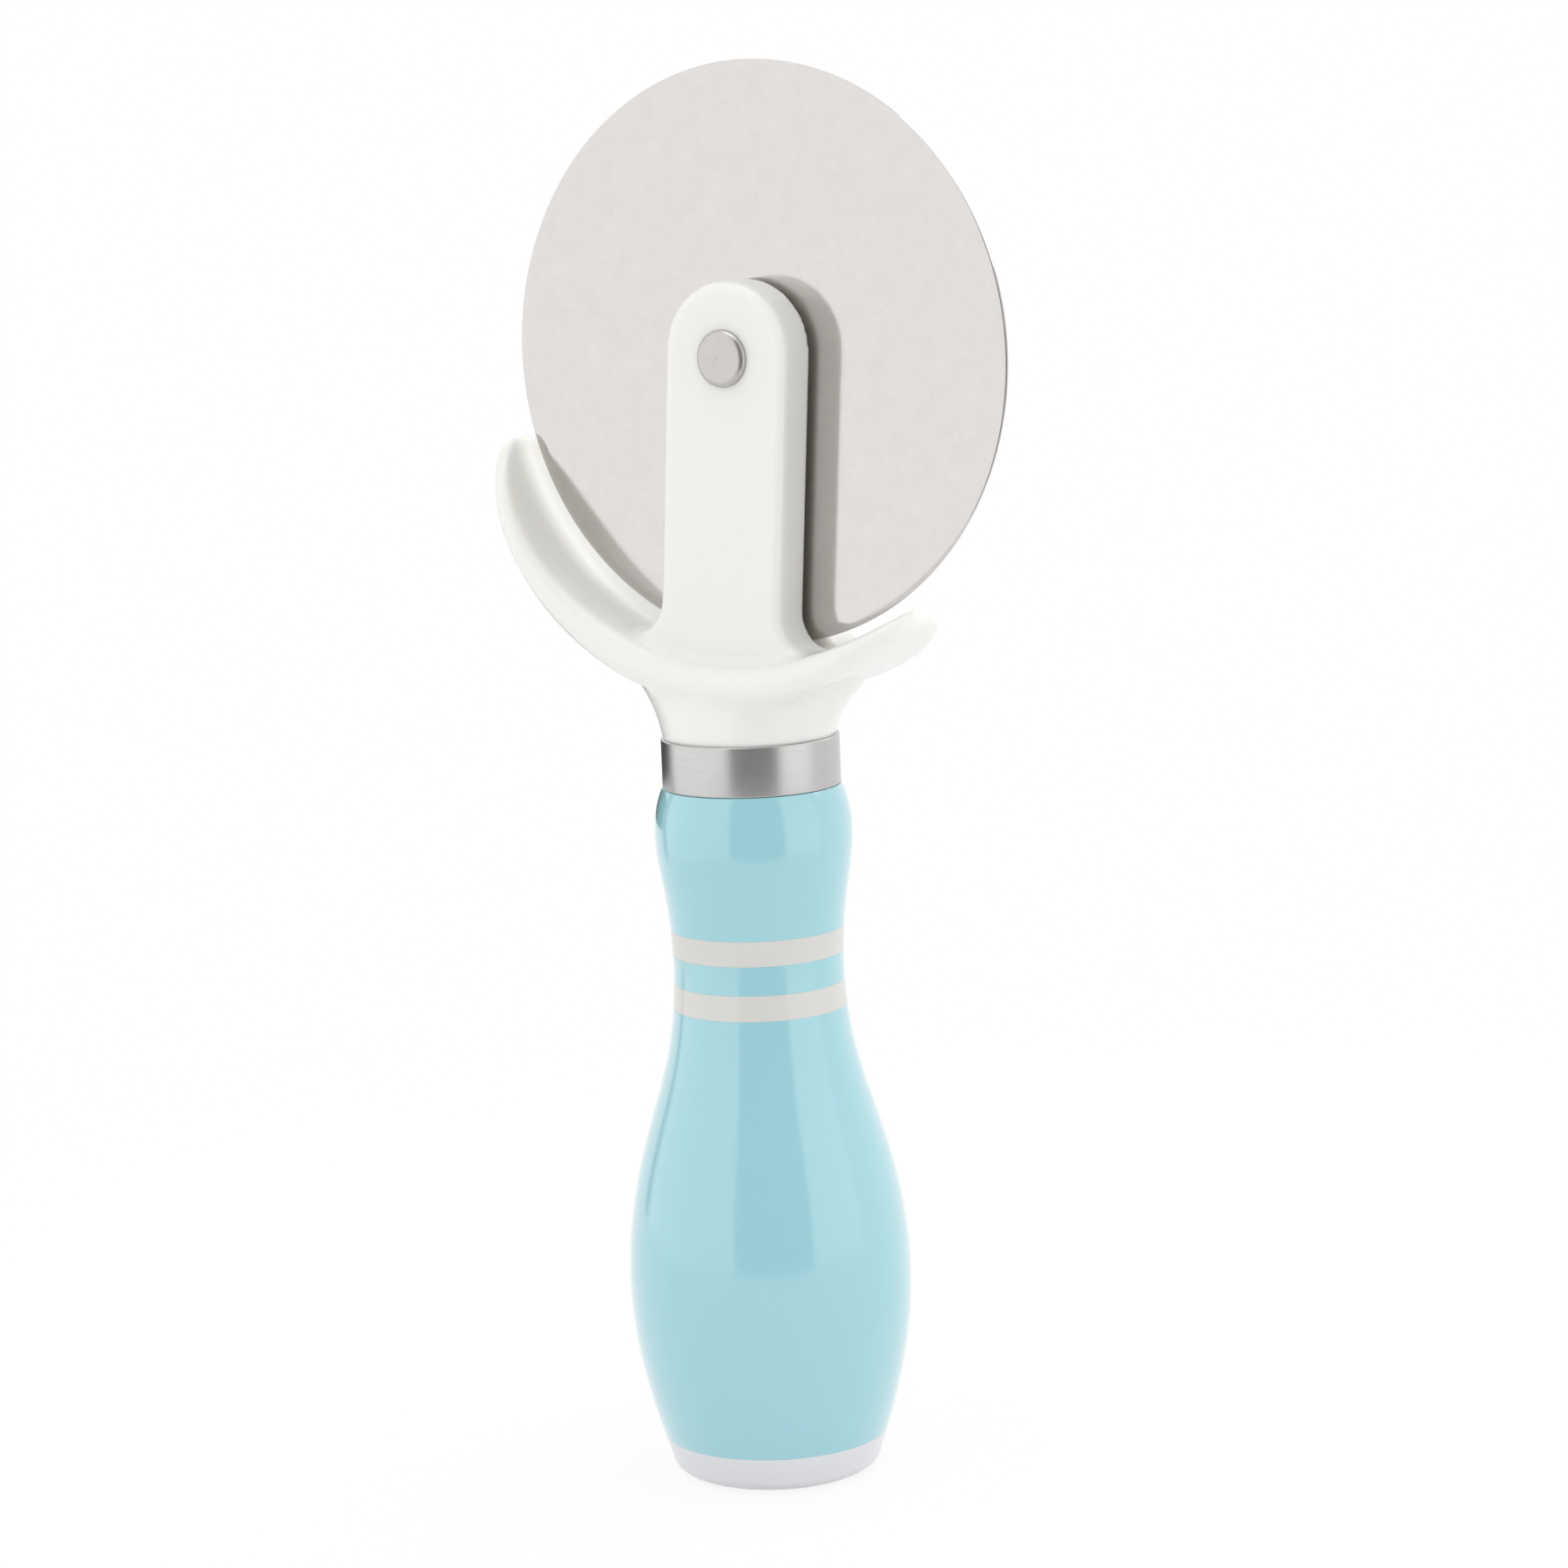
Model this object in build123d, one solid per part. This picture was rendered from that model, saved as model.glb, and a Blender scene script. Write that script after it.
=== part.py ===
from build123d import *
import os
from math import cos, pi, radians, sin, sqrt

# A hand wheel cutter that stands on the flat foot of its handle.
# The handle's axis is Z, its foot is at Z = 0, and the wheel turns in the XZ plane about an axle along Y.
# Lengths are in millimetres and angles in degrees.

os.makedirs("parts", exist_ok=True)

# Fits
running_clearance = 0.05
seat_clearance = 0.02
slip_clearance = 0.1
overrun = 2.0

# Cutting wheel: a stainless disc ground to a narrow double bevel
wheel_radius = 50.0
wheel_thickness = 1.0
bevel_width = 1.8
edge_thickness = 0.3
wheel_bore_radius = 5.0

# Axle: a hollow post with a low round head, and a headed pin driven into it from the other side
axle_radius = 3.0
axle_head_radius = 4.9
axle_head_height = 1.2
axle_head_round = 0.8
axle_dimple_radius = 0.5
axle_dimple_depth = 0.15
pin_radius = 1.7
pin_end_wall = 3.0

# Bushes in the wheel, and thin washers between them and the prongs
flange_radius = 8.0
flange_thickness = 0.8
flange_bevel = 0.3
washer_radius = 6.5
washer_thickness = 0.3

# Prongs of the fork, one on each side of the wheel
prong_width = 24.4
prong_thickness = 8.65
prong_eye_rise = 0.9
prong_outer_round = 1.6
prong_foot_round = 6.5
prong_foot_sink = 0.6

# Finger guard: a crescent that follows the wheel, thick at its foot and thin at its tips
guard_gap = 2.5
guard_half_width = 14.4
guard_foot_thickness = 7.4
guard_tip_thickness = 3.0
guard_foot_angle = 262.5
guard_taper_angle = 58.0
guard_taper_share = 1.4
guard_left_tip_angle = 200.0
guard_right_tip_angle = 313.0
guard_left_tip_length = 27.0
guard_right_tip_length = 25.0
guard_tip_steps = 6
guard_tip_crowd_share = 1.5
guard_foot_steps = 2

# Neck: it leans with the head, so that the wheel stands a little to one side of the handle's axis
head_cant = 4.2
guard_bend_gap = 7.0
neck_bend_rise = 6.8
neck_radius = 15.3
neck_edge_bevel = 0.35
neck_flare_rise = 16.3
neck_flare_width = 27.0
neck_flare_depth = 12.8
neck_flare_shift = 2.0
neck_top_sink = 1.8
neck_rise_shares = (0.37, 0.55, 1.0)
neck_width_shares = (0.27, 0.52, 1.0)
neck_depth_shares = (0.42, 0.75, 1.0)

# Ferrule: a rolled stainless ring between the neck and the handle
ferrule_radius = 15.6
ferrule_wall = 0.85
ferrule_height = 8.8
ferrule_edge_bevel = 0.3

# Handle: the outline of its pin shape, each station with its radius and its rise above the one before
foot_radius = 15.0
foot_side_radius = 18.6
foot_side_rise = 2.7
skirt_radius = 22.6
skirt_rise = 13.1
belly_radius = 25.05
belly_rise = 19.7
flank_radius = 21.5
flank_rise = 23.5
slope_radius = 16.6
slope_rise = 17.0
waist_radius = 15.05
waist_rise = 13.5
swell_radius = 15.9
swell_rise = 13.5
bulge_radius = 17.35
bulge_rise = 10.5
shoulder_radius = 15.7
shoulder_rise = 9.6

# Mouldings of the handle, threaded over one core tube; the lower grip fills what the others leave
cap_height = 6.8
stripe_height = 4.5
middle_grip_height = 5.1
upper_grip_height = 25.1

# Core tube, and the tang of the fork inside it
core_radius = 11.0
core_wall = 2.5
core_web_thickness = 4.0
tang_length = 71.1
tang_end_gap = 3.0
key_width = 3.0
key_depth = 1.2
key_length = 20.0
cap_plug_height = 6.0
cap_plug_wall = 1.8

# Fastening hidden in the core
screw_radius = 2.0
screw_reach = 9.0
screw_end_gap = 5.0
screw_head_radius = 3.8
screw_head_height = 3.2
screw_socket_radius = 1.7
screw_socket_depth = 1.8
screw_washer_radius = 6.0
screw_washer_thickness = 1.0
insert_radius = 3.2
insert_length = 10.0

# Places that follow from the sizes above
half_wheel = wheel_thickness / 2
bush_face = half_wheel + flange_thickness
prong_inner_face = bush_face + washer_thickness + 2 * running_clearance
prong_outer_face = prong_inner_face + prong_thickness
guard_radius = wheel_radius + guard_gap
skirt_height = foot_side_rise + skirt_rise
belly_height = skirt_height + belly_rise
flank_height = belly_height + flank_rise
slope_height = flank_height + slope_rise
waist_height = slope_height + waist_rise
swell_height = waist_height + swell_rise
bulge_height = swell_height + bulge_rise
handle_top = bulge_height + shoulder_rise
upper_grip_base = handle_top - upper_grip_height
stripe_upper_base = upper_grip_base - stripe_height
middle_grip_base = stripe_upper_base - middle_grip_height
stripe_lower_base = middle_grip_base - stripe_height
ferrule_top = handle_top + ferrule_height
bend_height = ferrule_top + neck_bend_rise
head_arm = guard_radius + guard_bend_gap
core_bore_radius = core_radius - core_wall
tang_radius = core_bore_radius - slip_clearance
tang_end = handle_top - tang_length
web_top = tang_end - tang_end_gap
web_base = web_top - core_web_thickness
insert_top = tang_end + insert_length
screw_tip = insert_top + screw_reach
spigot_radius = ferrule_radius - ferrule_wall - slip_clearance
head = Pos(0, 0, bend_height) * Rot(0, head_cant, 0) * Pos(0, 0, head_arm)


def across(radius, start, end):
    """A cylinder along Y from one side of the wheel to the other."""
    return Pos(0, end, 0) * Rot(90, 0, 0) * extrude(Circle(radius), end - start)


def upright(radius, bottom, top):
    """A cylinder along Z between two heights."""
    return Pos(0, 0, bottom) * extrude(Circle(radius), top - bottom)


def tube(outer, inner, bottom, top):
    """A ring along Z between two heights."""
    return upright(outer, bottom, top) - upright(inner, bottom - overrun, top + overrun)


def wheel_blade():
    """The disc, turned about its axle from half of its section."""
    side = half_wheel
    rim = edge_thickness / 2
    shoulder = wheel_radius - bevel_width
    section = Polyline(
        (wheel_bore_radius, -side),
        (shoulder, -side),
        (wheel_radius, -rim),
        (wheel_radius, rim),
        (shoulder, side),
        (wheel_bore_radius, side),
        close=True,
    )
    return revolve(make_face(section), Axis.Y)


def hub_bush():
    """A flanged bush for the front half of the wheel's bore."""
    barrel = across(wheel_bore_radius - seat_clearance, -half_wheel, 0)
    flange = across(flange_radius, -bush_face, -half_wheel)
    rim = flange.edges().filter_by(GeomType.CIRCLE).sort_by(Axis.Y)[0]
    bush = chamfer(rim, flange_bevel) + barrel
    return bush - across(axle_radius + running_clearance, -bush_face - overrun, overrun)


def spacer_washer():
    """A thin washer against the front prong."""
    near = -prong_inner_face + running_clearance / 2
    far = near + washer_thickness
    bore = across(axle_radius + running_clearance, near - overrun, far + overrun)
    return across(washer_radius, near, far) - bore


def axle_head():
    """The low head that both halves of the axle have, on the front prong."""
    outer = -prong_outer_face - axle_head_height
    blank = across(axle_head_radius, outer, -prong_outer_face)
    rim = blank.edges().filter_by(GeomType.CIRCLE).sort_by(Axis.Y)[0]
    dimple = across(axle_dimple_radius, outer - overrun, outer + axle_dimple_depth)
    return fillet(rim, axle_head_round) - dimple


def axle_post():
    """The hollow half: its head is on the front prong and its shank reaches through both."""
    shank = across(axle_radius, -prong_outer_face, prong_outer_face - seat_clearance)
    bore = across(pin_radius + seat_clearance, -prong_outer_face + pin_end_wall, prong_outer_face + overrun)
    return axle_head() + shank - bore


def axle_pin():
    """The solid half, driven into the post from the back."""
    shank = across(pin_radius, -prong_outer_face + pin_end_wall + slip_clearance, prong_outer_face)
    return axle_head().mirror(Plane.XZ) + shank


def prong():
    """The front prong: a plate with a round eye and a splayed foot on the guard."""
    seat = guard_radius + guard_foot_thickness / 2
    stem_height = seat + prong_eye_rise
    stem = Pos(0, prong_eye_rise - stem_height / 2) * Rectangle(prong_width, stem_height)
    eye = Pos(0, prong_eye_rise) * Circle(prong_width / 2)
    ground_radius = guard_radius + prong_foot_sink
    ground = Circle(seat) - Circle(ground_radius)
    ground = ground & Pos(0, -seat) * Rectangle(2 * (prong_width + prong_foot_round), seat)
    outline = Sketch() + ((stem & Circle(seat)) + eye + ground)
    half = prong_width / 2
    corner_height = -sqrt(ground_radius**2 - half**2)
    corners = [outline.vertices().sort_by_distance((x, corner_height))[0] for x in (-half, half)]
    outline = fillet(corners, prong_foot_round)
    plate = extrude(Plane.XZ.offset(prong_inner_face) * outline, prong_thickness)
    outer = plate.faces().sort_by(Axis.Y)[0].edges().filter_by(lambda e: e.center().Z > -guard_radius)
    plate = fillet(outer, prong_outer_round)
    return plate


def guard_thickness(angle):
    """The crescent's thickness, full at its foot and even along its tips."""
    turn = min(abs(angle - guard_foot_angle) / guard_taper_angle, 1)
    swell = cos(turn * pi / 2) ** guard_taper_share
    return guard_tip_thickness + (guard_foot_thickness - guard_tip_thickness) * swell


def guard_section(angle, half_width, thickness):
    """A round-ended section of the guard, in the plane through the axle at one angle."""
    outward = Vector(cos(radians(angle)), 0, sin(radians(angle)))
    middle = outward * (guard_radius + thickness / 2)
    plane = Plane(middle, x_dir=(0, -1, 0), z_dir=(-outward.Z, 0, outward.X))
    return plane * SlotOverall(2 * half_width, thickness)


def guard_tip(tip_angle, tip_length, direction):
    """Sections from one tip inwards: the plan of the tip is half an ellipse, and its end is rounded over."""
    sections = []
    for step in range(1, guard_tip_steps + 1):
        turn = 90 * (step / guard_tip_steps) ** guard_tip_crowd_share
        distance = tip_length * (1 - cos(radians(turn)))
        angle = tip_angle + direction * distance / guard_radius * 180 / pi
        round_over = min(distance / (guard_tip_thickness / 2), 1)
        thickness = guard_thickness(angle) * sqrt(1 - (1 - round_over) ** 2)
        sections.append((angle, guard_half_width * sin(radians(turn)), thickness))
    return sections


def guard():
    """The crescent, lofted through its sections from the left tip to the right one."""
    left = guard_tip(guard_left_tip_angle, guard_left_tip_length, 1)
    right = guard_tip(guard_right_tip_angle, guard_right_tip_length, -1)
    start, end = left[-1][0], right[-1][0]
    middle = []
    for step in range(1, guard_foot_steps + 1):
        angle = start + (end - start) * step / (guard_foot_steps + 1)
        middle.append((angle, guard_half_width, guard_thickness(angle)))
    sections = left + middle + right[::-1]
    return loft([guard_section(*section) for section in sections])


def neck():
    """The flare from the round seat on the ferrule to the underside of the guard."""
    foot = Pos(0, 0, ferrule_top) * Circle(neck_radius - neck_edge_bevel)
    collar = Pos(0, 0, ferrule_top + neck_edge_bevel) * Circle(neck_radius)
    sections = [collar]
    for rise_share, width_share, depth_share in zip(neck_rise_shares, neck_width_shares, neck_depth_shares):
        width = neck_radius + (neck_flare_width - neck_radius) * width_share
        depth = neck_radius + (neck_flare_depth - neck_radius) * depth_share
        rise = neck_flare_rise * rise_share
        lean = head_cant * min(rise / neck_bend_rise, 1)
        aside = max(rise - neck_bend_rise, 0) * sin(radians(head_cant)) - neck_flare_shift * width_share
        sections.append(Pos(aside, 0, ferrule_top + rise) * Rot(0, lean, 0) * Ellipse(width, depth))
    hollow = head * across(guard_radius + neck_top_sink, -wheel_radius, wheel_radius)
    return loft([foot, collar]) + (loft(sections) - hollow)


def tang():
    """The spigot inside the ferrule and the keyed tang inside the core tube."""
    spigot = upright(spigot_radius, handle_top, ferrule_top + overrun)
    stem = upright(tang_radius, tang_end, handle_top + overrun)
    key = Pos(0, -tang_radius, handle_top - key_length / 2) * Box(key_width, 2 * key_depth, key_length)
    hole = upright(insert_radius + seat_clearance, tang_end - overrun, insert_top)
    clearance = upright(screw_radius + slip_clearance, tang_end, screw_tip + screw_end_gap)
    return spigot + stem + key - hole - clearance


def fork():
    """Both prongs, the guard, the neck and the tang in one moulding, bored for the axle."""
    front = prong()
    body = head * (guard() + front + front.mirror(Plane.XZ))
    body = body + neck() + tang()
    side = prong_outer_face + overrun
    return body - head * across(axle_radius + seat_clearance, -side, side)


def ferrule():
    """The ring, bevelled a little at both outer edges."""
    ring = tube(ferrule_radius, ferrule_radius - ferrule_wall, handle_top, ferrule_top)
    rims = ring.edges().filter_by(GeomType.CIRCLE)
    outer_rims = rims.filter_by(lambda rim: rim.radius > ferrule_radius - ferrule_wall / 2)
    return chamfer(outer_rims, ferrule_edge_bevel)


def handle_form():
    """The pin shape of the whole handle, turned from its outline."""
    side = Spline(
        (foot_side_radius, foot_side_rise),
        (skirt_radius, skirt_height),
        (belly_radius, belly_height),
        (flank_radius, flank_height),
        (slope_radius, slope_height),
        (waist_radius, waist_height),
        (swell_radius, swell_height),
        (bulge_radius, bulge_height),
        (shoulder_radius, handle_top),
    )
    edge = TangentArc((foot_radius, 0), (foot_side_radius, foot_side_rise), tangent=(1, 0))
    rest = Polyline((shoulder_radius, handle_top), (0, handle_top), (0, 0), (foot_radius, 0))
    return revolve(Plane.XZ * make_face(edge + side + rest), Axis.Z)


def handle_slice(form, bottom, height):
    """One moulding of the stack: a slice of the form, bored to slip over the core."""
    slab = Pos(0, 0, bottom + height / 2) * Box(4 * belly_radius, 4 * belly_radius, height)
    return (form & slab) - upright(core_radius + slip_clearance, bottom - overrun, bottom + height + overrun)


def base_cap(form):
    """The foot, with a ring that plugs into the lower end of the core tube."""
    slab = Pos(0, 0, cap_height / 2) * Box(4 * belly_radius, 4 * belly_radius, cap_height)
    plug_top = cap_height + cap_plug_height
    plug_radius = core_bore_radius - slip_clearance
    plug = tube(plug_radius, plug_radius - cap_plug_wall, cap_height, plug_top)
    return (form & slab) + plug


def handle_core():
    """The tube that carries the stack, with a web for the screw and a slot for the tang's key."""
    shell = tube(core_radius, core_bore_radius, cap_height, handle_top)
    web = upright(core_bore_radius, web_base, web_top)
    hole = upright(screw_radius + slip_clearance, web_base - overrun, web_top + overrun)
    slot_depth = 2 * (key_depth + slip_clearance)
    slot_length = key_length + slip_clearance + overrun
    slot_middle = handle_top + overrun - slot_length / 2
    slot_width = key_width + 2 * slip_clearance
    slot = Pos(0, -core_bore_radius, slot_middle) * Box(slot_width, slot_depth, slot_length)
    return shell + web - hole - slot


def tie_screw():
    """A round-head screw, entered from below, that draws the stack up to the fork."""
    head_top = web_base - screw_washer_thickness
    head_base = head_top - screw_head_height
    shank = upright(screw_radius, head_top, screw_tip)
    cap = upright(screw_head_radius, head_base, head_top)
    hexagon = RegularPolygon(screw_socket_radius, 6)
    socket = Pos(0, 0, head_base - overrun) * extrude(hexagon, screw_socket_depth + overrun)
    return shank + cap - socket


def screw_washer():
    """The washer between the screw's head and the web."""
    bottom = web_base - screw_washer_thickness
    return tube(screw_washer_radius, screw_radius + slip_clearance, bottom, web_base)


def tang_insert():
    """The brass insert in the end of the tang."""
    return tube(insert_radius, screw_radius + seat_clearance, tang_end, insert_top)


form = handle_form()
nodes = {
    "wheel_blade": head * wheel_blade(),
    "hub_bush_front": head * hub_bush(),
    "hub_bush_back": head * hub_bush().mirror(Plane.XZ),
    "spacer_washer_front": head * spacer_washer(),
    "spacer_washer_back": head * spacer_washer().mirror(Plane.XZ),
    "axle_post": head * axle_post(),
    "axle_pin": head * axle_pin(),
    "fork": fork(),
    "ferrule": ferrule(),
    "upper_grip": handle_slice(form, upper_grip_base, upper_grip_height),
    "stripe_ring_upper": handle_slice(form, stripe_upper_base, stripe_height),
    "middle_grip": handle_slice(form, middle_grip_base, middle_grip_height),
    "stripe_ring_lower": handle_slice(form, stripe_lower_base, stripe_height),
    "lower_grip": handle_slice(form, cap_height, stripe_lower_base - cap_height),
    "base_cap": base_cap(form),
    "handle_core": handle_core(),
    "tie_screw": tie_screw(),
    "screw_washer": screw_washer(),
    "tang_insert": tang_insert(),
}
for name, solid in nodes.items():
    export_step(solid, f"parts/{name}.step")
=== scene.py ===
from math import cos, pi, radians, sin

import bmesh
import bpy
import numpy as np
from mathutils import Matrix, Vector


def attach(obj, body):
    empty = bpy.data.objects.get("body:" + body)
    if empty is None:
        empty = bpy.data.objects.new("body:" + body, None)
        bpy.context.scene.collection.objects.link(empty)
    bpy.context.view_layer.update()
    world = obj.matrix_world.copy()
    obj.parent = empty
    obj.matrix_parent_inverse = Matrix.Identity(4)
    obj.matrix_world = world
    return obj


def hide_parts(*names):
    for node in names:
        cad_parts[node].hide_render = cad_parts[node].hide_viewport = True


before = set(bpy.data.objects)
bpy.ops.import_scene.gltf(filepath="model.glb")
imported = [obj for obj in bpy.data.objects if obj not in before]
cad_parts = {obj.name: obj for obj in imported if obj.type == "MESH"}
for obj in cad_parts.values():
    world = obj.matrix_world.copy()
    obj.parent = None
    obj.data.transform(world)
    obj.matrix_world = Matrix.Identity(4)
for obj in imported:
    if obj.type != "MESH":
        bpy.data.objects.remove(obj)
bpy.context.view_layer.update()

# Camera: a long lens a little above the cutter, from its front right, turned slightly as the photo was taken.
# Its place was fitted to the disc's outline, the two sides of the handle and the stripes. The picture is shown
# with the standard view, so that a colour appears as it is lit.


def put_in(name, data):
    """A new object with its data, in the scene."""
    thing = bpy.data.objects.new(name, data)
    bpy.context.collection.objects.link(thing)
    return thing


lens = bpy.data.cameras.new("camera")
lens.sensor_width = 36
lens.lens = 100.02
camera = put_in("camera", lens)
camera_place = (0.4234, -0.6206, 0.2446)
forward = Vector((-0.5502, 0.8195, -0.1599)).normalized()
photo_up = Vector((-0.0579, 0.1536, 0.9863))
right = forward.cross(photo_up).normalized()
up = right.cross(forward)
camera_turn = Matrix((right, up, -forward)).transposed().to_4x4()
camera.matrix_world = Matrix.Translation(camera_place) @ camera_turn
bpy.context.scene.camera = camera
bpy.context.scene.view_settings.view_transform = "Standard"

# Fork: prongs, crescent guard, flaring neck and tang are one injection moulding in white plastic with a
# smooth, softly shining skin. The mould's edges are slightly rounded and its inner corners are blended.


def node_adder(tree):
    """A function that adds nodes to the tree. An input that is given a socket is linked, any other is set."""

    def add(kind, inputs, **settings):
        node = tree.nodes.new(kind)
        for key, value in settings.items():
            setattr(node, key, value)
        for key, value in inputs.items():
            if isinstance(value, bpy.types.NodeSocket):
                tree.links.new(value, node.inputs[key])
            else:
                node.inputs[key].default_value = value
        return node.outputs

    return add


def new_material(name, colour, roughness):
    """A material of one colour, its Principled shader and the function that adds its nodes."""
    material = bpy.data.materials.new(name)
    material.use_nodes = True
    shader = material.node_tree.nodes["Principled BSDF"]
    shader.inputs["Base Color"].default_value = (*colour, 1)
    shader.inputs["Roughness"].default_value = roughness
    return material, shader, node_adder(material.node_tree)


def dress(material, shader, two_tones, relief):
    """Links a shader's colour to the mix of two tones and its normal to the relief."""
    material.node_tree.links.new(two_tones, shader.inputs["Base Color"])
    material.node_tree.links.new(relief, shader.inputs["Normal"])


def moulded_plastic(name, colour, shade, roughness, skin_size, skin_height, others=()):
    """Moulded plastic: its colour drifts a little towards shade, and its skin is very slightly uneven.

    The others are further inputs of its shader, each with its value.
    """
    material, shader, add = new_material(name, colour, roughness)
    for key, value in others:
        shader.inputs[key].default_value = value
    drift_scale = 35.0
    place = add("ShaderNodeTexCoord", {})["Object"]
    drift = add("ShaderNodeTexNoise", {"Vector": place, "Scale": drift_scale, "Detail": 2.0})["Fac"]
    tint = add(
        "ShaderNodeMix", {"Factor": drift, "A": (*colour, 1), "B": (*shade, 1)}, data_type="RGBA"
    )["Result"]
    skin = add(
        "ShaderNodeTexNoise", {"Vector": place, "Scale": 1 / skin_size, "Detail": 3.0, "Roughness": 0.6}
    )["Fac"]
    relief = add("ShaderNodeBump", {"Strength": 1.0, "Distance": skin_height, "Height": skin})["Normal"]
    dress(material, shader, tint, relief)
    return material


def made_solid(piece):
    """Turns what a piece's modifiers make into its plain mesh."""
    mesh = bpy.data.meshes.new_from_object(piece.evaluated_get(bpy.context.evaluated_depsgraph_get()))
    piece.modifiers.clear()
    piece.data = mesh
    return mesh


def fix_on(piece, body, slot, *nodes):
    """Fixes a finished piece to its body and hides the CAD nodes that it stands for. The slot is not used."""
    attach(piece, body)
    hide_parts(*nodes)


white_plastic = moulded_plastic(
    "white plastic", (0.83, 0.83, 0.80), (0.82, 0.82, 0.79),
    roughness=0.22, skin_size=0.006, skin_height=0.00001,
    others=(("Subsurface Weight", 0.3), ("Subsurface Radius", (1.0, 0.85, 0.6)), ("Subsurface Scale", 0.003)),
)

fork_weld = 0.000002
fork_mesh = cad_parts["fork"].data.copy()
fork_mesh.name = "fork_moulding"
surface = bmesh.new()
surface.from_mesh(fork_mesh)
bmesh.ops.remove_doubles(surface, verts=surface.verts, dist=fork_weld)
surface.to_mesh(fork_mesh)
surface.free()

# The skin is laid with the prongs square to its grid, so that their straight edges stay straight.
axle_centre = (0.0043576727, 0.0, 0.1980402114)
head_cant = radians(4.2)
square = Matrix.Rotation(-head_cant, 4, "Y") @ Matrix.Translation(-Vector(axle_centre))
fork_mesh.transform(square)
fork = put_in("fork_moulding", fork_mesh)
skin = fork.modifiers.new("even skin", "REMESH")
skin.mode = "VOXEL"
skin.voxel_size = 0.00055
edge_rounding = fork.modifiers.new("rounded edges", "SMOOTH")
edge_rounding.factor = 0.5
edge_rounding.iterations = 6
fork_skin = made_solid(fork)

# Where the skin is hollow, it is smoothed on into fillets.
hollow_bend = 0.00004
surface = bmesh.new()
surface.from_mesh(fork_skin)
surface.normal_update()
hollow = []
for vert in surface.verts:
    neighbours = sum((edge.other_vert(vert).co - vert.co for edge in vert.link_edges), Vector())
    if neighbours.dot(vert.normal) > hollow_bend:
        hollow.append(vert.index)
surface.free()
inner_corners = fork.vertex_groups.new(name="inner corners")
inner_corners.add(hollow, 1.0, "REPLACE")
fillet = fork.modifiers.new("fillets", "SMOOTH")
fillet.vertex_group = "inner corners"
fillet.factor = 0.5
fillet.iterations = 60
fork_skin = made_solid(fork)
fork.vertex_groups.clear()
fork_skin.transform(square.inverted())

# The guard's short arm ends slightly lower and nearer than its solid does, as the photo shows it.
arm_root, arm_tip, tip_trim = 0.020, 0.0386, Vector((-0.0015, 0.0, -0.0014))
for vert in fork_skin.vertices:
    along_arm = min(max((vert.co.x - arm_root) / (arm_tip - arm_root), 0.0), 1.0)
    vert.co += along_arm * along_arm * (3 - 2 * along_arm) * tip_trim
fork_skin.shade_smooth()
fork_skin.materials.clear()
fork_skin.materials.append(white_plastic)
fix_on(fork, "handle", "white_plastic", "fork")

# Tang insert: a knurled brass bush pressed into the hollow end of the tang, where it takes the tie screw.
# It was turned on a lathe, and it is hidden in the handle.


def finish_nodes(material, *nodes):
    """Gives CAD nodes that stay as they are their material."""
    for node in nodes:
        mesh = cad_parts[node].data
        mesh.materials.clear()
        mesh.materials.append(material)


def turned_metal(name, light, dark, roughness, centre, turn, groove, depth):
    """Metal that was turned, brushed or ground round its axis.

    It is faintly clouded between two tones, and carries fine grooves round the axis.
    """
    material, shader, add = new_material(name, light, roughness)
    shader.inputs["Metallic"].default_value = 1
    cloud_scale, along_axis = 220.0, 10.0
    place = add("ShaderNodeTexCoord", {})["Object"]
    moved = add(
        "ShaderNodeMapping", {"Vector": place, "Location": centre, "Rotation": turn}, vector_type="TEXTURE"
    )["Vector"]
    parts = add("ShaderNodeSeparateXYZ", {"Vector": moved})
    flat = add("ShaderNodeCombineXYZ", {"X": parts["X"], "Y": parts["Y"]})["Vector"]
    radius = add("ShaderNodeVectorMath", {"Vector": flat}, operation="LENGTH")["Value"]
    across = add("ShaderNodeMath", {0: radius, 1: parts["Z"]}, operation="ADD")["Value"]
    grain = add(
        "ShaderNodeTexNoise", {"W": across, "Scale": 1 / groove, "Detail": 2.0}, noise_dimensions="1D"
    )["Fac"]
    relief = add("ShaderNodeBump", {"Strength": 1.0, "Distance": depth, "Height": grain})["Normal"]
    drawn = add("ShaderNodeMapping", {"Vector": moved, "Scale": (1.0, 1.0, along_axis)})["Vector"]
    cloud = add(
        "ShaderNodeTexNoise", {"Vector": drawn, "Scale": cloud_scale, "Detail": 6.0, "Roughness": 0.8}
    )["Fac"]
    tone = add("ShaderNodeMix", {"Factor": cloud, "A": (*dark, 1), "B": (*light, 1)}, data_type="RGBA")["Result"]
    dress(material, shader, tone, relief)
    return material


upright = (0.0, 0.0, 0.0)
foot_centre = (0.0, 0.0, 0.0)
brass = turned_metal(
    "turned brass", (0.80, 0.62, 0.34), (0.76, 0.58, 0.30),
    roughness=0.3, centre=foot_centre, turn=upright, groove=0.0002, depth=0.000004,
)
finish_nodes(brass, "tang_insert")

# Ferrule: a short ring rolled from stainless sheet and brushed round, pushed over the foot of the neck.
# Like every turned piece it is spun from the outline of its section.


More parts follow.
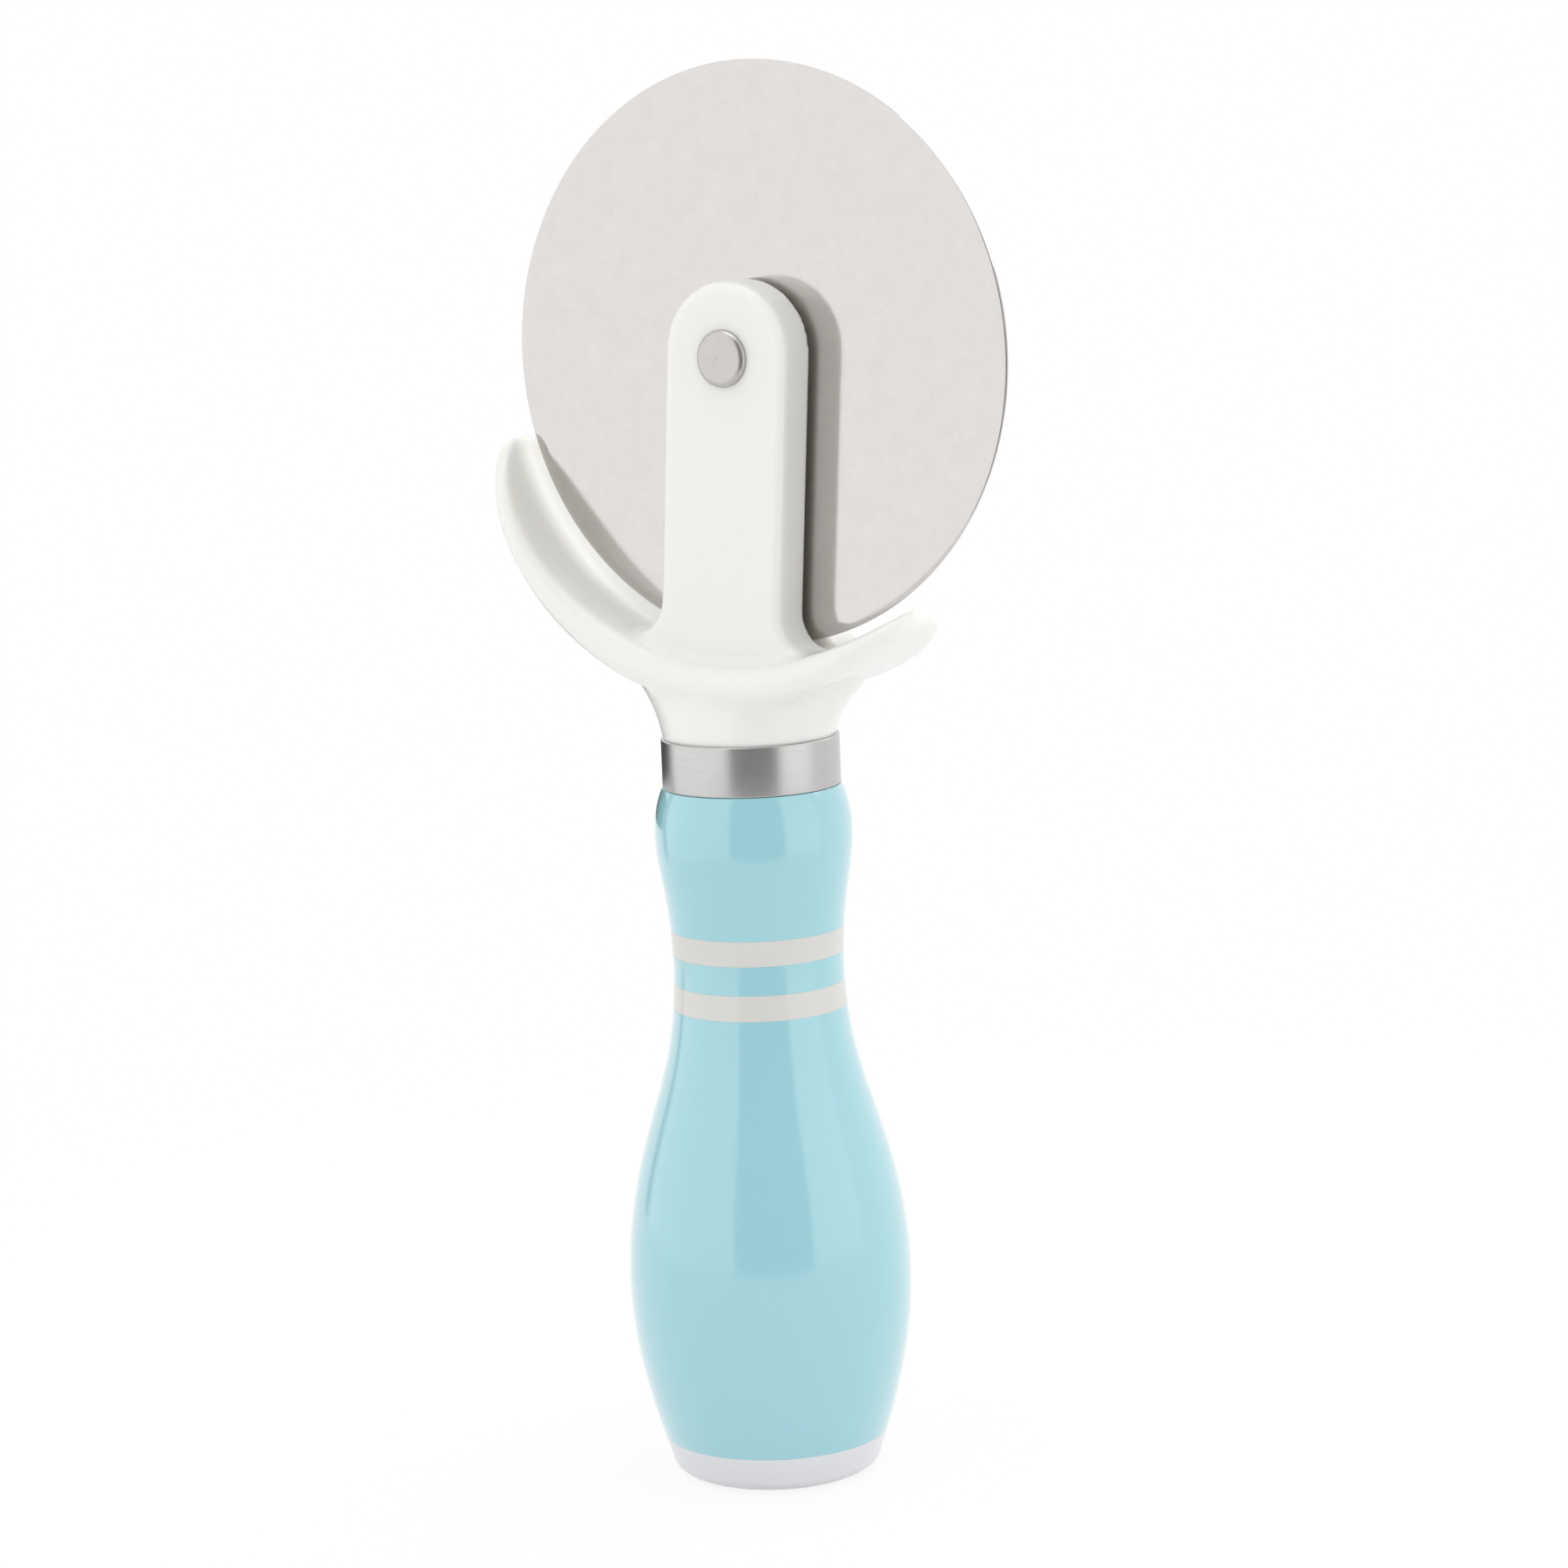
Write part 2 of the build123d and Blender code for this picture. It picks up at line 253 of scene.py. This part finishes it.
def turning_tree():
    """A tree that spins the points of an outline, radius along X and height along Z, round the Z axis."""
    tree = bpy.data.node_groups.new("Turned piece", "GeometryNodeTree")
    for name, kind, way in (
        ("Outline", "NodeSocketGeometry", "INPUT"),
        ("Segments", "NodeSocketInt", "INPUT"),
        ("Closed", "NodeSocketBool", "INPUT"),
        ("Centre", "NodeSocketVector", "INPUT"),
        ("Turn", "NodeSocketRotation", "INPUT"),
        ("Material", "NodeSocketMaterial", "INPUT"),
        ("Piece", "NodeSocketGeometry", "OUTPUT"),
    ):
        tree.interface.new_socket(name, in_out=way, socket_type=kind)
    add = node_adder(tree)
    weld = 0.0000005
    given = add("NodeGroupInput", {})
    count = add("GeometryNodeAttributeDomainSize", {"Geometry": given["Outline"]})["Point Count"]
    columns = add("ShaderNodeMath", {0: count, 1: given["Closed"]}, operation="ADD")[0]
    rows = add("ShaderNodeMath", {0: given["Segments"], 1: 1.0}, operation="ADD")[0]
    grid = add("GeometryNodeMeshGrid", {"Vertices X": rows, "Vertices Y": columns})["Mesh"]
    index = add("GeometryNodeInputIndex", {})["Index"]
    share = add("ShaderNodeMath", {0: index, 1: columns}, operation="DIVIDE")[0]
    row = add("ShaderNodeMath", {0: share}, operation="FLOOR")[0]
    passed = add("ShaderNodeMath", {0: row, 1: columns}, operation="MULTIPLY")[0]
    column = add("ShaderNodeMath", {0: index, 1: passed}, operation="SUBTRACT")[0]
    which = add("ShaderNodeMath", {0: column, 1: count}, operation="MODULO")[0]
    position = add("GeometryNodeInputPosition", {})["Position"]
    sample = add(
        "GeometryNodeSampleIndex",
        {"Geometry": given["Outline"], "Value": position, "Index": which},
        data_type="FLOAT_VECTOR",
    )["Value"]
    once = add("ShaderNodeMath", {0: row, 1: given["Segments"]}, operation="DIVIDE")[0]
    angle = add("ShaderNodeMath", {0: once, 1: 2 * pi}, operation="MULTIPLY")[0]
    spun = add("ShaderNodeVectorRotate", {"Vector": sample, "Angle": angle}, rotation_type="Z_AXIS")["Vector"]
    placed = add("GeometryNodeSetPosition", {"Geometry": grid, "Position": spun})["Geometry"]
    joined = add("GeometryNodeMergeByDistance", {"Geometry": placed, "Distance": weld})["Geometry"]
    moved = add(
        "GeometryNodeTransform", {"Geometry": joined, "Translation": given["Centre"], "Rotation": given["Turn"]}
    )["Geometry"]
    real = add("GeometryNodeRealizeInstances", {"Geometry": moved})["Geometry"]
    coated = add("GeometryNodeSetMaterial", {"Geometry": real, "Material": given["Material"]})["Geometry"]
    add("NodeGroupOutput", {"Piece": coated})
    return tree


turning = turning_tree()


def turned(name, outline, material, closed=True, segments=192, centre=foot_centre, turn=upright):
    """A piece spun from (radius, height) points in millimetres.

    A closed outline is a ring's section. Any other starts and ends on the axis.
    """
    sharp_angle = radians(22)
    mesh = bpy.data.meshes.new(name)
    mesh.from_pydata([(0.001 * radius, 0, 0.001 * height) for radius, height in outline], [], [])
    piece = put_in(name, mesh)
    spin = piece.modifiers.new("spin", "NODES")
    spin.node_group = turning
    given = {"Segments": segments, "Closed": closed, "Centre": centre, "Turn": turn, "Material": material}
    for socket in turning.interface.items_tree:
        if socket.name in given:
            spin[socket.identifier] = given[socket.name]
    spun = made_solid(piece)
    surface = bmesh.new()
    surface.from_mesh(spun)
    bmesh.ops.recalc_face_normals(surface, faces=surface.faces)
    surface.to_mesh(spun)
    surface.free()
    spun.shade_smooth()
    spun.set_sharp_from_angle(angle=sharp_angle)
    return piece


def quarter_turn(steps, start=0):
    """The angles of a quarter turn in even steps, from the start in degrees on."""
    return [radians(start + 90 * step / steps) for step in range(steps + 1)]


def corner(radius, height, size, start):
    """A rounded corner of an outline: a quarter turn of the given size, from the start in degrees on."""
    turns = quarter_turn(5, start)
    middle_radius = radius - size * (cos(turns[0]) + cos(turns[-1]))
    middle_height = height - size * (sin(turns[0]) + sin(turns[-1]))
    return [(middle_radius + size * cos(turn), middle_height + size * sin(turn)) for turn in turns]


def ring_outline(inner, outer, bottom, top, edge):
    """A ring's section with all four edges rounded."""
    return (
        corner(outer, bottom, edge, -90)
        + corner(outer, top, edge, 0)
        + corner(inner, top, edge, 90)
        + corner(inner, bottom, edge, 180)
    )


ferrule_base, ferrule_top = 123.1, 131.9
ferrule_radius, ferrule_wall, ferrule_edge = 15.6, 0.85, 0.28
ferrule_steel = turned_metal(
    "brushed steel", (0.63, 0.62, 0.615), (0.47, 0.465, 0.46),
    roughness=0.28, centre=foot_centre, turn=upright, groove=0.0003, depth=0.000009,
)
ferrule = turned(
    "ferrule_ring",
    ring_outline(ferrule_radius - ferrule_wall, ferrule_radius, ferrule_base, ferrule_top, ferrule_edge),
    ferrule_steel,
)
fix_on(ferrule, "handle", "ferrule_steel", "ferrule")

# Upper grip: the light blue moulding with the small bulge, right under the ferrule. The whole handle is one
# pin shape, turned through its stations, and each moulding of the stack is a slice of it with eased rims.

foot_side_radius, foot_side_rise = 18.6, 2.7
pin_shape = (
    (foot_side_radius, foot_side_rise), (22.6, 15.8), (25.05, 35.5), (21.5, 59.0), (16.6, 76.0),
    (15.05, 89.5), (15.9, 103.0), (17.35, 113.5), (15.7, ferrule_base),
)
core_bore, rim_ease = 11.1, 0.05
row_height, fewest_rows = 0.5, 6


def smooth_line(stations, steps=60):
    """A smooth line through stations: a cubic spline over the distance from one to the next."""
    points = np.array(stations)
    gaps = np.hypot(*np.diff(points, axis=0).T)
    count = len(points)
    bend = np.zeros((count, count))
    pull = np.zeros((count, 2))
    slopes = np.diff(points, axis=0) / gaps[:, None]
    for i in range(1, count - 1):
        bend[i, i - 1 : i + 2] = gaps[i - 1], 2 * (gaps[i - 1] + gaps[i]), gaps[i]
        pull[i] = 6 * (slopes[i] - slopes[i - 1])
    bend[0, :3] = gaps[1], -gaps[0] - gaps[1], gaps[0]
    bend[-1, -3:] = gaps[-1], -gaps[-2] - gaps[-1], gaps[-2]
    curve = np.linalg.solve(bend, pull)
    line = []
    for i in range(count - 1):
        along = gaps[i] * np.linspace(0, 1, steps, endpoint=False)[:, None]
        first = slopes[i] - gaps[i] * (2 * curve[i] + curve[i + 1]) / 6
        cubic = (curve[i + 1] - curve[i]) / (6 * gaps[i])
        line.append(points[i] + first * along + curve[i] / 2 * along**2 + cubic * along**3)
    return np.vstack([*line, points[-1:]])


pin_line = smooth_line(pin_shape)


def side(height):
    """The handle's radius at a height."""
    return float(np.interp(height, pin_line[:, 1], pin_line[:, 0]))


def eased_rim(end, ease, way):
    """A rim rolled in over its ease, from its end on. The way is 1 from a bottom up, and -1 from a top down."""
    turns = quarter_turn(6)
    heights = [end + way * ease * (1 - cos(turn)) for turn in turns]
    return [(side(height) - ease * (1 - sin(turn)), height) for height, turn in zip(heights, turns)]


def eased_side(bottom, top, ease_bottom=True):
    """The outer side of one moulding from its bottom to its top, with its rims eased."""
    low = rim_ease if ease_bottom else 0
    rows = max(int((top - bottom) / row_height), fewest_rows)
    heights = np.linspace(bottom + 1.5 * low, top - 1.5 * rim_ease, rows)
    rim = eased_rim(bottom, low, 1) if ease_bottom else []
    return rim + [(side(height), height) for height in heights] + eased_rim(top, rim_ease, -1)[::-1]


def stack_moulding(name, bottom, top, material):
    """One moulding of the handle's stack, bored to slip over the core."""
    outline = [(core_bore, bottom)] + eased_side(bottom, top) + [(core_bore, top)]
    return turned(name, outline, material)


blue_plastic = moulded_plastic(
    "light blue plastic", (0.313, 0.61, 0.665), (0.304, 0.6, 0.657),
    roughness=0.12, skin_size=0.008, skin_height=0.00002,
    others=(("Coat Weight", 1.0), ("Coat IOR", 1.6), ("Coat Roughness", 0.15)),
)
upper_grip_base = 98.0
upper_grip = stack_moulding("upper_grip_moulding", upper_grip_base, ferrule_base, blue_plastic)
fix_on(upper_grip, "handle", "blue_plastic", "upper_grip")

# Stripe rings and middle grip: three short mouldings, white, blue and white, at the waist of the handle.
# They are threaded over the core like the grips, so that their borders are crisp lines all round.

lower_stripe_base, middle_grip_base, upper_stripe_base = 83.9, 88.4, 93.5
stripe_plastic = moulded_plastic(
    "white stripe plastic", (0.65, 0.645, 0.625), (0.635, 0.63, 0.61),
    roughness=0.14, skin_size=0.008, skin_height=0.00001,
)
for name, bottom, top, material, slot, node in (
    ("stripe_upper", upper_stripe_base, upper_grip_base, stripe_plastic, "stripe_plastic", "stripe_ring_upper"),
    ("middle_grip_moulding", middle_grip_base, upper_stripe_base, blue_plastic, "blue_plastic", "middle_grip"),
    ("stripe_lower", lower_stripe_base, middle_grip_base, stripe_plastic, "stripe_plastic", "stripe_ring_lower"),
):
    fix_on(stack_moulding(name, bottom, top, material), "handle", slot, node)

# Lower grip: the belly of the handle, one glossy light blue moulding from the lower stripe to the foot.
# It is the largest piece of the stack and slips over the core like the others.

lower_grip_base = 6.8
lower_grip = stack_moulding("lower_grip_moulding", lower_grip_base, lower_stripe_base, blue_plastic)
fix_on(lower_grip, "handle", "blue_plastic", "lower_grip")

# Base cap: the white foot that the cutter stands on. Its lower edge is rolled in to a flat seat, and a ring
# on its top plugs into the core tube.

foot_radius, foot_chamfer = 15.0, 0.2
plug_inner, plug_outer, plug_top, plug_edge = 6.6, 8.4, 12.8, 0.3
foot_plastic = moulded_plastic(
    "white foot plastic", (0.735, 0.735, 0.755), (0.72, 0.72, 0.745),
    roughness=0.16, skin_size=0.008, skin_height=0.00001,
)
foot_roll = [
    (foot_radius + (foot_side_radius - foot_radius) * sin(turn), foot_side_rise * (1 - cos(turn)))
    for turn in quarter_turn(10)[:-1]
]
cap_outline = (
    [(0, 0), (foot_radius - foot_chamfer, 0)]
    + foot_roll
    + eased_side(foot_side_rise, lower_grip_base, ease_bottom=False)
    + [(plug_outer, lower_grip_base)]
    + corner(plug_outer, plug_top, plug_edge, 0)
    + corner(plug_inner, plug_top, plug_edge, 90)
    + [(plug_inner, lower_grip_base), (0, lower_grip_base)]
)
base_cap = turned("base_cap_moulding", cap_outline, foot_plastic, closed=False)
fix_on(base_cap, "handle", "foot_plastic", "base_cap")

# Core tube: a moulded tube of grey plastic that the stack is threaded over. It carries the load between tang
# and foot. It is hidden, so it is left unpolished.

core_plastic = moulded_plastic(
    "unpolished core plastic", (0.60, 0.60, 0.60), (0.56, 0.56, 0.56),
    roughness=0.5, skin_size=0.001, skin_height=0.00002,
)
finish_nodes(core_plastic, "handle_core")

# Tie screw and its washer: zinc-plated steel. The screw is entered from below, runs up through the core and
# draws the whole stack up to the insert in the tang.

zinc = turned_metal(
    "zinc-plated steel", (0.57, 0.57, 0.59), (0.53, 0.53, 0.55),
    roughness=0.35, centre=foot_centre, turn=upright, groove=0.0003, depth=0.000004,
)
finish_nodes(zinc, "tie_screw", "screw_washer")

# Wheel: a disc stamped from stainless sheet and polished round its axle. Its rim is ground to a narrow
# double bevel, and a second, finer bevel takes it to the edge.

axle_turn = (radians(90), 0.0, 0.0)
blade_steel = turned_metal(
    "polished steel", (0.66, 0.637, 0.622), (0.555, 0.535, 0.523),
    roughness=0.1, centre=axle_centre, turn=axle_turn, groove=0.0004, depth=0.000001,
)
disc_bore, half_thickness, bevel_start = 5.0, 0.5, 48.2
fine_bevel, cutting_edge = (49.8, 0.26), (50.0, 0.188)
half_section = [(radius, half_thickness) for radius in (disc_bore, 20.0, 35.0, bevel_start - 0.1, bevel_start)]
half_section += [fine_bevel, cutting_edge]
wheel_outline = half_section + [(radius, -height) for radius, height in reversed(half_section)]
blade = turned("blade_disc", wheel_outline, blade_steel, segments=360, centre=axle_centre, turn=axle_turn)
fix_on(blade, "wheel", "blade_steel", "wheel_blade")

# Bushes and washers: turned from a natural low-friction plastic. The two bushes are pressed into the disc's
# bore, and a thin washer keeps each flange off its prong. They are mostly hidden.

bush_plastic = moulded_plastic(
    "natural bush plastic", (0.78, 0.77, 0.72), (0.76, 0.75, 0.70),
    roughness=0.45, skin_size=0.001, skin_height=0.00001,
)
finish_nodes(bush_plastic, "hub_bush_front", "hub_bush_back", "spacer_washer_front", "spacer_washer_back")

# Axle: a hollow post with a low round head, entered from the front, and a pin with the same head driven into
# it from the back. Both heads are turned steel with a tiny centre dimple left by the lathe.

axle_steel = turned_metal(
    "turned steel", (0.59, 0.57, 0.55), (0.47, 0.45, 0.43),
    roughness=0.3, centre=axle_centre, turn=axle_turn, groove=0.0003, depth=0.000003,
)
seat, face, head_radius = 10.35, 11.55, 4.9
head_rim, head_roll, head_edge = 1.3, 0.95, 0.06
post_radius, post_bore, pin_radius = 3.0, 1.72, 1.7
dimple = [(0, face - 0.13), (0.3, face - 0.1), (0.5, face - 0.02), (0.56, face)]
head_outline = dimple + [(2.0, face)]
head_outline += [
    (head_radius - head_rim + head_rim * sin(turn), face - head_roll + head_roll * cos(turn))
    for turn in quarter_turn(10)
]
head_outline += [(head_radius, seat + head_edge), (head_radius - head_edge, seat)]
post_end, bore_floor, pin_end = -seat + 0.02, seat - 3.0, -seat + 3.1
post_chamfer, pin_chamfer = 0.08, 0.1
post_outline = head_outline + [
    (post_radius, seat),
    (post_radius, post_end + post_chamfer),
    (post_radius - post_chamfer, post_end),
    (post_bore, post_end),
    (post_bore, bore_floor),
    (0, bore_floor),
]
pin_outline = head_outline + [
    (pin_radius, seat),
    (pin_radius, pin_end + pin_chamfer),
    (pin_radius - pin_chamfer, pin_end),
    (0, pin_end),
]
for name, outline, turn, node in (
    ("axle_post_turned", post_outline, axle_turn, "axle_post"),
    ("axle_pin_turned", pin_outline, (radians(-90), 0.0, 0.0), "axle_pin"),
):
    half = turned(name, outline, axle_steel, closed=False, segments=96, centre=axle_centre, turn=turn)
    fix_on(half, "handle", "axle_steel", node)

# Studio: a pale table and four soft lamps, a wide one on the left, a narrower one on the right, and one each
# behind and above. The background is white, and dark cards that only reflections show keep the darker bands.


def panel(name, width, height, middle, aim):
    """A flat sheet that faces a point."""
    x, y = width / 2, height / 2
    mesh = bpy.data.meshes.new(name)
    mesh.from_pydata([(-x, -y, 0), (x, -y, 0), (x, y, 0), (-x, y, 0)], [], [(0, 1, 2, 3)])
    sheet = put_in(name, mesh)
    middle = Vector(middle)
    facing = (Vector(aim) - middle).to_track_quat("Z", "Y").to_matrix().to_4x4()
    sheet.matrix_world = Matrix.Translation(middle) @ facing
    return sheet


def background_rays(add):
    """1 for a ray of the camera, of a gloss or through glass, which sees the background, and 0 for any other."""
    path = add("ShaderNodeLightPath", {})
    seen = add("ShaderNodeMath", {0: path["Is Camera Ray"], 1: path["Is Glossy Ray"]}, operation="MAXIMUM")[0]
    return add("ShaderNodeMath", {0: seen, 1: path["Is Transmission Ray"]}, operation="MAXIMUM")[0]


table_size, table_drop = 12, 0.0002
foot_white, far_white = 0.88, 1.0
table_paint, table_shader, add = new_material("table", (0.93, 0.93, 0.93), 0.6)
place = add("ShaderNodeTexCoord", {})["Object"]
reach = add("ShaderNodeVectorMath", {0: place}, operation="LENGTH")["Value"]
fade = add(
    "ShaderNodeMapRange",
    {"Value": reach, "From Min": 0.06, "From Max": 0.4, "To Min": foot_white, "To Max": far_white},
)["Result"]
amount = add("ShaderNodeMath", {0: background_rays(add), 1: fade}, operation="MULTIPLY")[0]
glow = add("ShaderNodeEmission", {})["Emission"]
mix = add("ShaderNodeMixShader", {"Fac": amount, 1: table_shader.outputs["BSDF"], 2: glow})["Shader"]
table_tree = table_paint.node_tree
table_tree.links.new(mix, table_tree.nodes["Material Output"].inputs["Surface"])
table = panel("table", table_size, table_size, (0, 0, -table_drop), (0, 0, 1))
table.data.materials.append(table_paint)

lighting_white = 0.88
world = bpy.data.worlds.new("studio")
bpy.context.scene.world = world
world.use_nodes = True
add = node_adder(world.node_tree)
seen = background_rays(add)
level = add("ShaderNodeMapRange", {"Value": seen, "To Min": lighting_white, "To Max": far_white})["Result"]
sky = world.node_tree.nodes["Background"]
sky.inputs["Color"].default_value = (1, 1, 1, 1)
world.node_tree.links.new(level, sky.inputs["Strength"])


def round_about(azimuth, distance, height):
    """A place round the cutter. Azimuth is in degrees from -Y towards +X."""
    return Vector((distance * sin(radians(azimuth)), -distance * cos(radians(azimuth)), height))


for name, width, height, azimuth, distance, middle_height, aim_height, watts in (
    ("left_lamp", 0.72, 0.62, -38.7, 0.36, 0.31, 0.31, 0.36),
    ("right_lamp", 0.30, 0.6, 92.3, 0.36, 0.31, 0.31, 0.2),
    ("back_lamp", 0.5, 0.5, 150, 0.36, 0.52, 0.15, 0.85),
    ("top_lamp", 0.4, 0.4, 0, 0.1, 0.75, 0.17, 0.55),
):
    light = bpy.data.lights.new(name, "AREA")
    light.shape = "RECTANGLE"
    light.size, light.size_y = width, height
    light.energy = watts
    lamp = put_in(name, light)
    middle = round_about(azimuth, distance, middle_height)
    away = middle - Vector((0, 0, aim_height))
    lamp.matrix_world = Matrix.Translation(middle) @ away.to_track_quat("Z", "Y").to_matrix().to_4x4()
    lamp.visible_camera = False

for name, width, height, azimuth, distance, middle_height, shade in (
    ("front_card", 0.37, 0.6, 37.8, 0.3, 0.31, 0.32),
    ("left_card", 0.05, 0.6, -90, 0.4, 0.31, 0.32),
    ("ferrule_card", 0.08, 0.028, -110.7, 0.1, 0.12, 0.04),
):
    card_paper = new_material(name + "_paper", (shade, 0.97 * shade, 0.97 * shade), 0.9)[0]
    middle = round_about(azimuth, distance, middle_height)
    card = panel(name, width, height, middle, (0, 0, middle_height))
    card.data.materials.append(card_paper)
    card.visible_camera = False
    card.visible_diffuse = False
    card.visible_shadow = False
